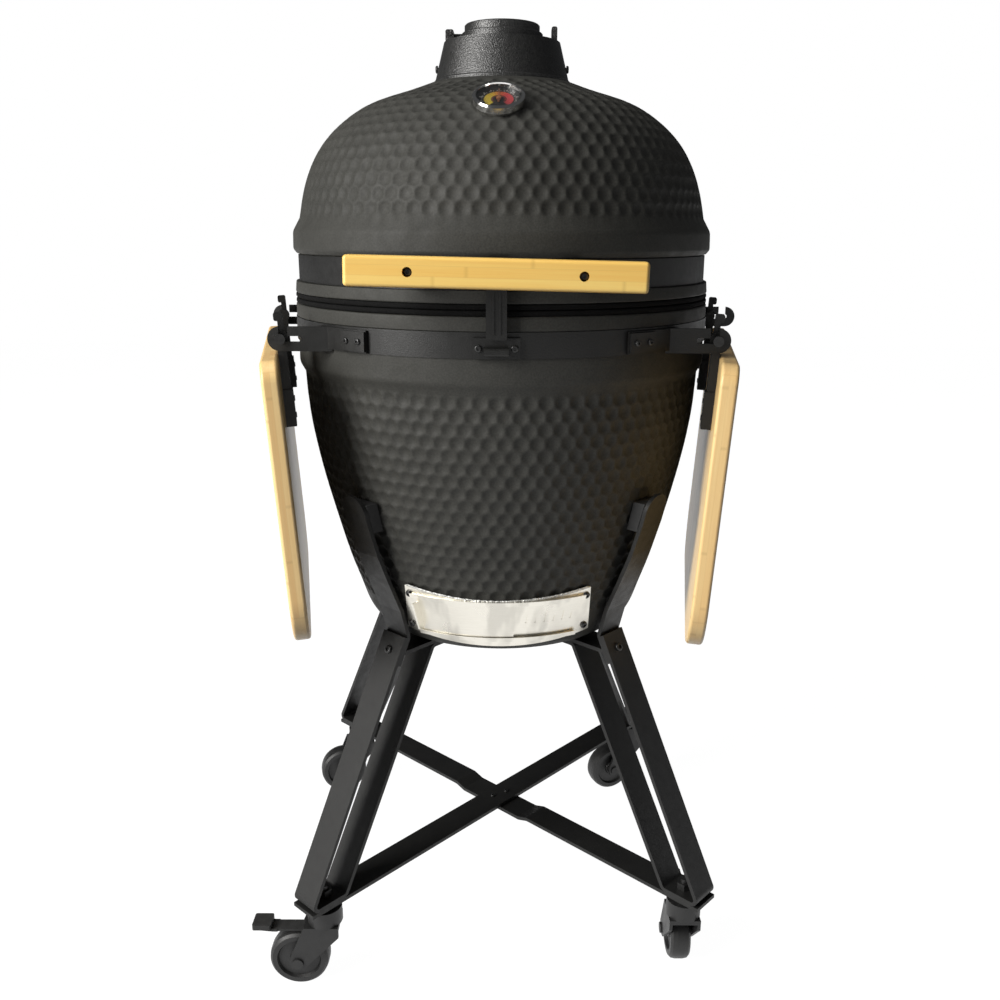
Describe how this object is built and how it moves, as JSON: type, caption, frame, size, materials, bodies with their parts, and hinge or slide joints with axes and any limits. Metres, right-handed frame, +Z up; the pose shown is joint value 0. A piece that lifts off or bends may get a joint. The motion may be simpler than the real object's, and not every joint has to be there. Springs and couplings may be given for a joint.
{
  "type": "kamado ceramic grill",
  "caption": "Egg-shaped dimpled ceramic charcoal grill with hinged domed lid, bamboo handle, cast top vent, sliding lower vent and folding bamboo side shelves on a wheeled steel stand.",
  "frame": {"origin": "on the floor under the vertical axis of the bowl", "axes": "+Z up, -Y towards the front of the grill (handle, latch, thermometer and lower vent), +X to the right as seen from the front"},
  "size_m": [0.6884, 0.62, 1.1855],
  "materials": {
    "ceramic_charcoal": "matt dark grey glaze, dimpled",
    "ceramic_bare": "bare fired clay",
    "felt_black": "black felt",
    "band_steel": "satin black powder coat",
    "stand_steel": "fine textured black powder coat",
    "bamboo": "oiled bamboo, straight grain",
    "cast_black": "pebbled satin black paint on cast metal",
    "stainless": "brushed",
    "steel_bright": "polished",
    "grate_iron": "raw cast iron",
    "dial_face": "printed black dial with a coloured arc",
    "needle_paint": "matt",
    "gauge_glass": "clear",
    "bolt_black": "black oxide",
    "spring_steel": "plain",
    "caster_plastic": "satin black",
    "pedal_rubber": "matt"
  },
  "bodies": {
    "base": {"base_shell": "ceramic_charcoal", "base_gasket": "felt_black", "firebox": "ceramic_bare", "fire_ring": "ceramic_bare", "charcoal_grate": "grate_iron", "lower_band": "band_steel", "hinge_lower": "band_steel", "hinge_pin": "bolt_black", "hinge_springs": "spring_steel", "latch_keeper": "band_steel", "band_bolts": "bolt_black", "draft_frame": "stainless", "draft_screen": "stainless", "draft_bolts": "bolt_black", "shelf_brackets_left": "band_steel", "shelf_brackets_right": "band_steel", "bracket_clamps": "band_steel", "cart_cradle": "stand_steel", "cart_pads": "felt_black", "cart_bolts": "bolt_black", "brace_a": "stand_steel", "brace_b": "stand_steel", "leg_front_left": "stand_steel", "leg_front_right": "stand_steel", "leg_rear_right": "stand_steel", "leg_rear_left": "stand_steel"},
    "lid": {"lid_shell": "ceramic_charcoal", "lid_gasket": "felt_black", "upper_band": "band_steel", "hinge_upper": "band_steel", "handle_bar": "bamboo", "handle_brackets": "band_steel", "handle_bolts": "bolt_black", "vent_collar": "cast_black", "vent_screws": "bolt_black", "gauge_bezel": "steel_bright", "gauge_dial": "dial_face", "gauge_glass": "gauge_glass"},
    "grid": {"cooking_grid": "steel_bright"},
    "cap": {"vent_cap": "cast_black"},
    "dial": {"vent_dial": "cast_black"},
    "needle": {"gauge_needle": "needle_paint"},
    "latch": {"lid_latch": "band_steel"},
    "draft_slider": {"draft_door": "stainless"},
    "shelf_left": {"shelf_board_left": "bamboo", "shelf_arms_left": "band_steel", "shelf_pins_left": "bolt_black"},
    "shelf_right": {"shelf_board_right": "bamboo", "shelf_arms_right": "band_steel", "shelf_pins_right": "bolt_black"},
    "caster_front_left": {"fork_front_left": "caster_plastic"},
    "wheel_front_left": {"wheel_front_left": "caster_plastic"},
    "caster_front_right": {"fork_front_right": "caster_plastic"},
    "wheel_front_right": {"wheel_front_right": "caster_plastic"},
    "caster_rear_right": {"fork_rear_right": "caster_plastic"},
    "wheel_rear_right": {"wheel_rear_right": "caster_plastic"},
    "caster_rear_left": {"fork_rear_left": "caster_plastic"},
    "wheel_rear_left": {"wheel_rear_left": "caster_plastic"},
    "pedal_front_left": {"brake_front_left": "pedal_rubber"},
    "pedal_front_right": {"brake_front_right": "pedal_rubber"}
  },
  "joints": [
    {"name": "lid_hinge", "type": "hinge", "parent": "base", "child": "lid", "pos_m": [0, 0.3, 0.862], "axis": [-1, 0, 0], "range_deg": [0, 75]},
    {"name": "grid_lift", "type": "slide", "parent": "base", "child": "grid", "axis": [0, 0, 1], "range_m": [0, 0.12]},
    {"name": "cap_hinge", "type": "hinge", "parent": "lid", "child": "cap", "pos_m": [-0.0635, 0, 1.1695], "axis": [0, -1, 0], "range_deg": [0, 95]},
    {"name": "dial_turn", "type": "hinge", "parent": "cap", "child": "dial", "pos_m": [0, 0, 1.17], "axis": [0, 0, 1], "range_deg": [0, 36]},
    {"name": "needle_turn", "type": "hinge", "parent": "lid", "child": "needle", "pos_m": [0, -0.1864, 1.0726], "axis": [0, -0.5678, 0.8231], "range_deg": [-240, 20]},
    {"name": "latch_swing", "type": "hinge", "parent": "lid", "child": "latch", "pos_m": [0, -0.267, 0.9], "axis": [-1, 0, 0], "range_deg": [0, 36]},
    {"name": "draft_slide", "type": "hinge", "parent": "base", "child": "draft_slider", "pos_m": [0, 0, 0.482], "axis": [0, 0, 1], "range_deg": [0, 23]},
    {"name": "shelf_left_fold", "type": "hinge", "parent": "base", "child": "shelf_left", "pos_m": [-0.25, -0.18, 0.8205], "axis": [-0.2163, 0.9763, 0], "range_deg": [0, 93.5]},
    {"name": "shelf_right_fold", "type": "hinge", "parent": "base", "child": "shelf_right", "pos_m": [0.25, -0.18, 0.8205], "axis": [-0.158, -0.9874, 0], "range_deg": [0, 93.5]},
    {"name": "swivel_front_left", "type": "hinge", "parent": "base", "child": "caster_front_left", "pos_m": [-0.21814, -0.24227, 0.1], "axis": [0, 0, 1], "continuous": true},
    {"name": "spin_front_left", "type": "hinge", "parent": "caster_front_left", "child": "wheel_front_left", "pos_m": [-0.25213, -0.24286, 0.038], "axis": [0.0175, -0.9998, 0], "continuous": true},
    {"name": "swivel_front_right", "type": "hinge", "parent": "base", "child": "caster_front_right", "pos_m": [0.24227, -0.21814, 0.1], "axis": [0, 0, 1], "continuous": true},
    {"name": "spin_front_right", "type": "hinge", "parent": "caster_front_right", "child": "wheel_front_right", "pos_m": [0.24167, -0.18414, 0.038], "axis": [-0.9998, -0.0175, 0], "continuous": true},
    {"name": "swivel_rear_right", "type": "hinge", "parent": "base", "child": "caster_rear_right", "pos_m": [0.21814, 0.24227, 0.1], "axis": [0, 0, 1], "continuous": true},
    {"name": "spin_rear_right", "type": "hinge", "parent": "caster_rear_right", "child": "wheel_rear_right", "pos_m": [0.18732, 0.2279, 0.038], "axis": [0.4226, -0.9063, 0], "continuous": true},
    {"name": "swivel_rear_left", "type": "hinge", "parent": "base", "child": "caster_rear_left", "pos_m": [-0.24227, 0.21814, 0.1], "axis": [0, 0, 1], "continuous": true},
    {"name": "spin_rear_left", "type": "hinge", "parent": "caster_rear_left", "child": "wheel_rear_left", "pos_m": [-0.27511, 0.20934, 0.038], "axis": [0.2588, -0.9659, 0], "continuous": true},
    {"name": "brake_press_front_left", "type": "hinge", "parent": "caster_front_left", "child": "pedal_front_left", "pos_m": [-0.23613, -0.24258, 0.0795], "axis": [0.0175, -0.9998, 0], "range_deg": [0, 4]},
    {"name": "brake_press_front_right", "type": "hinge", "parent": "caster_front_right", "child": "pedal_front_right", "pos_m": [0.24195, -0.20014, 0.0795], "axis": [-0.9998, -0.0175, 0], "range_deg": [0, 4]}
  ]
}
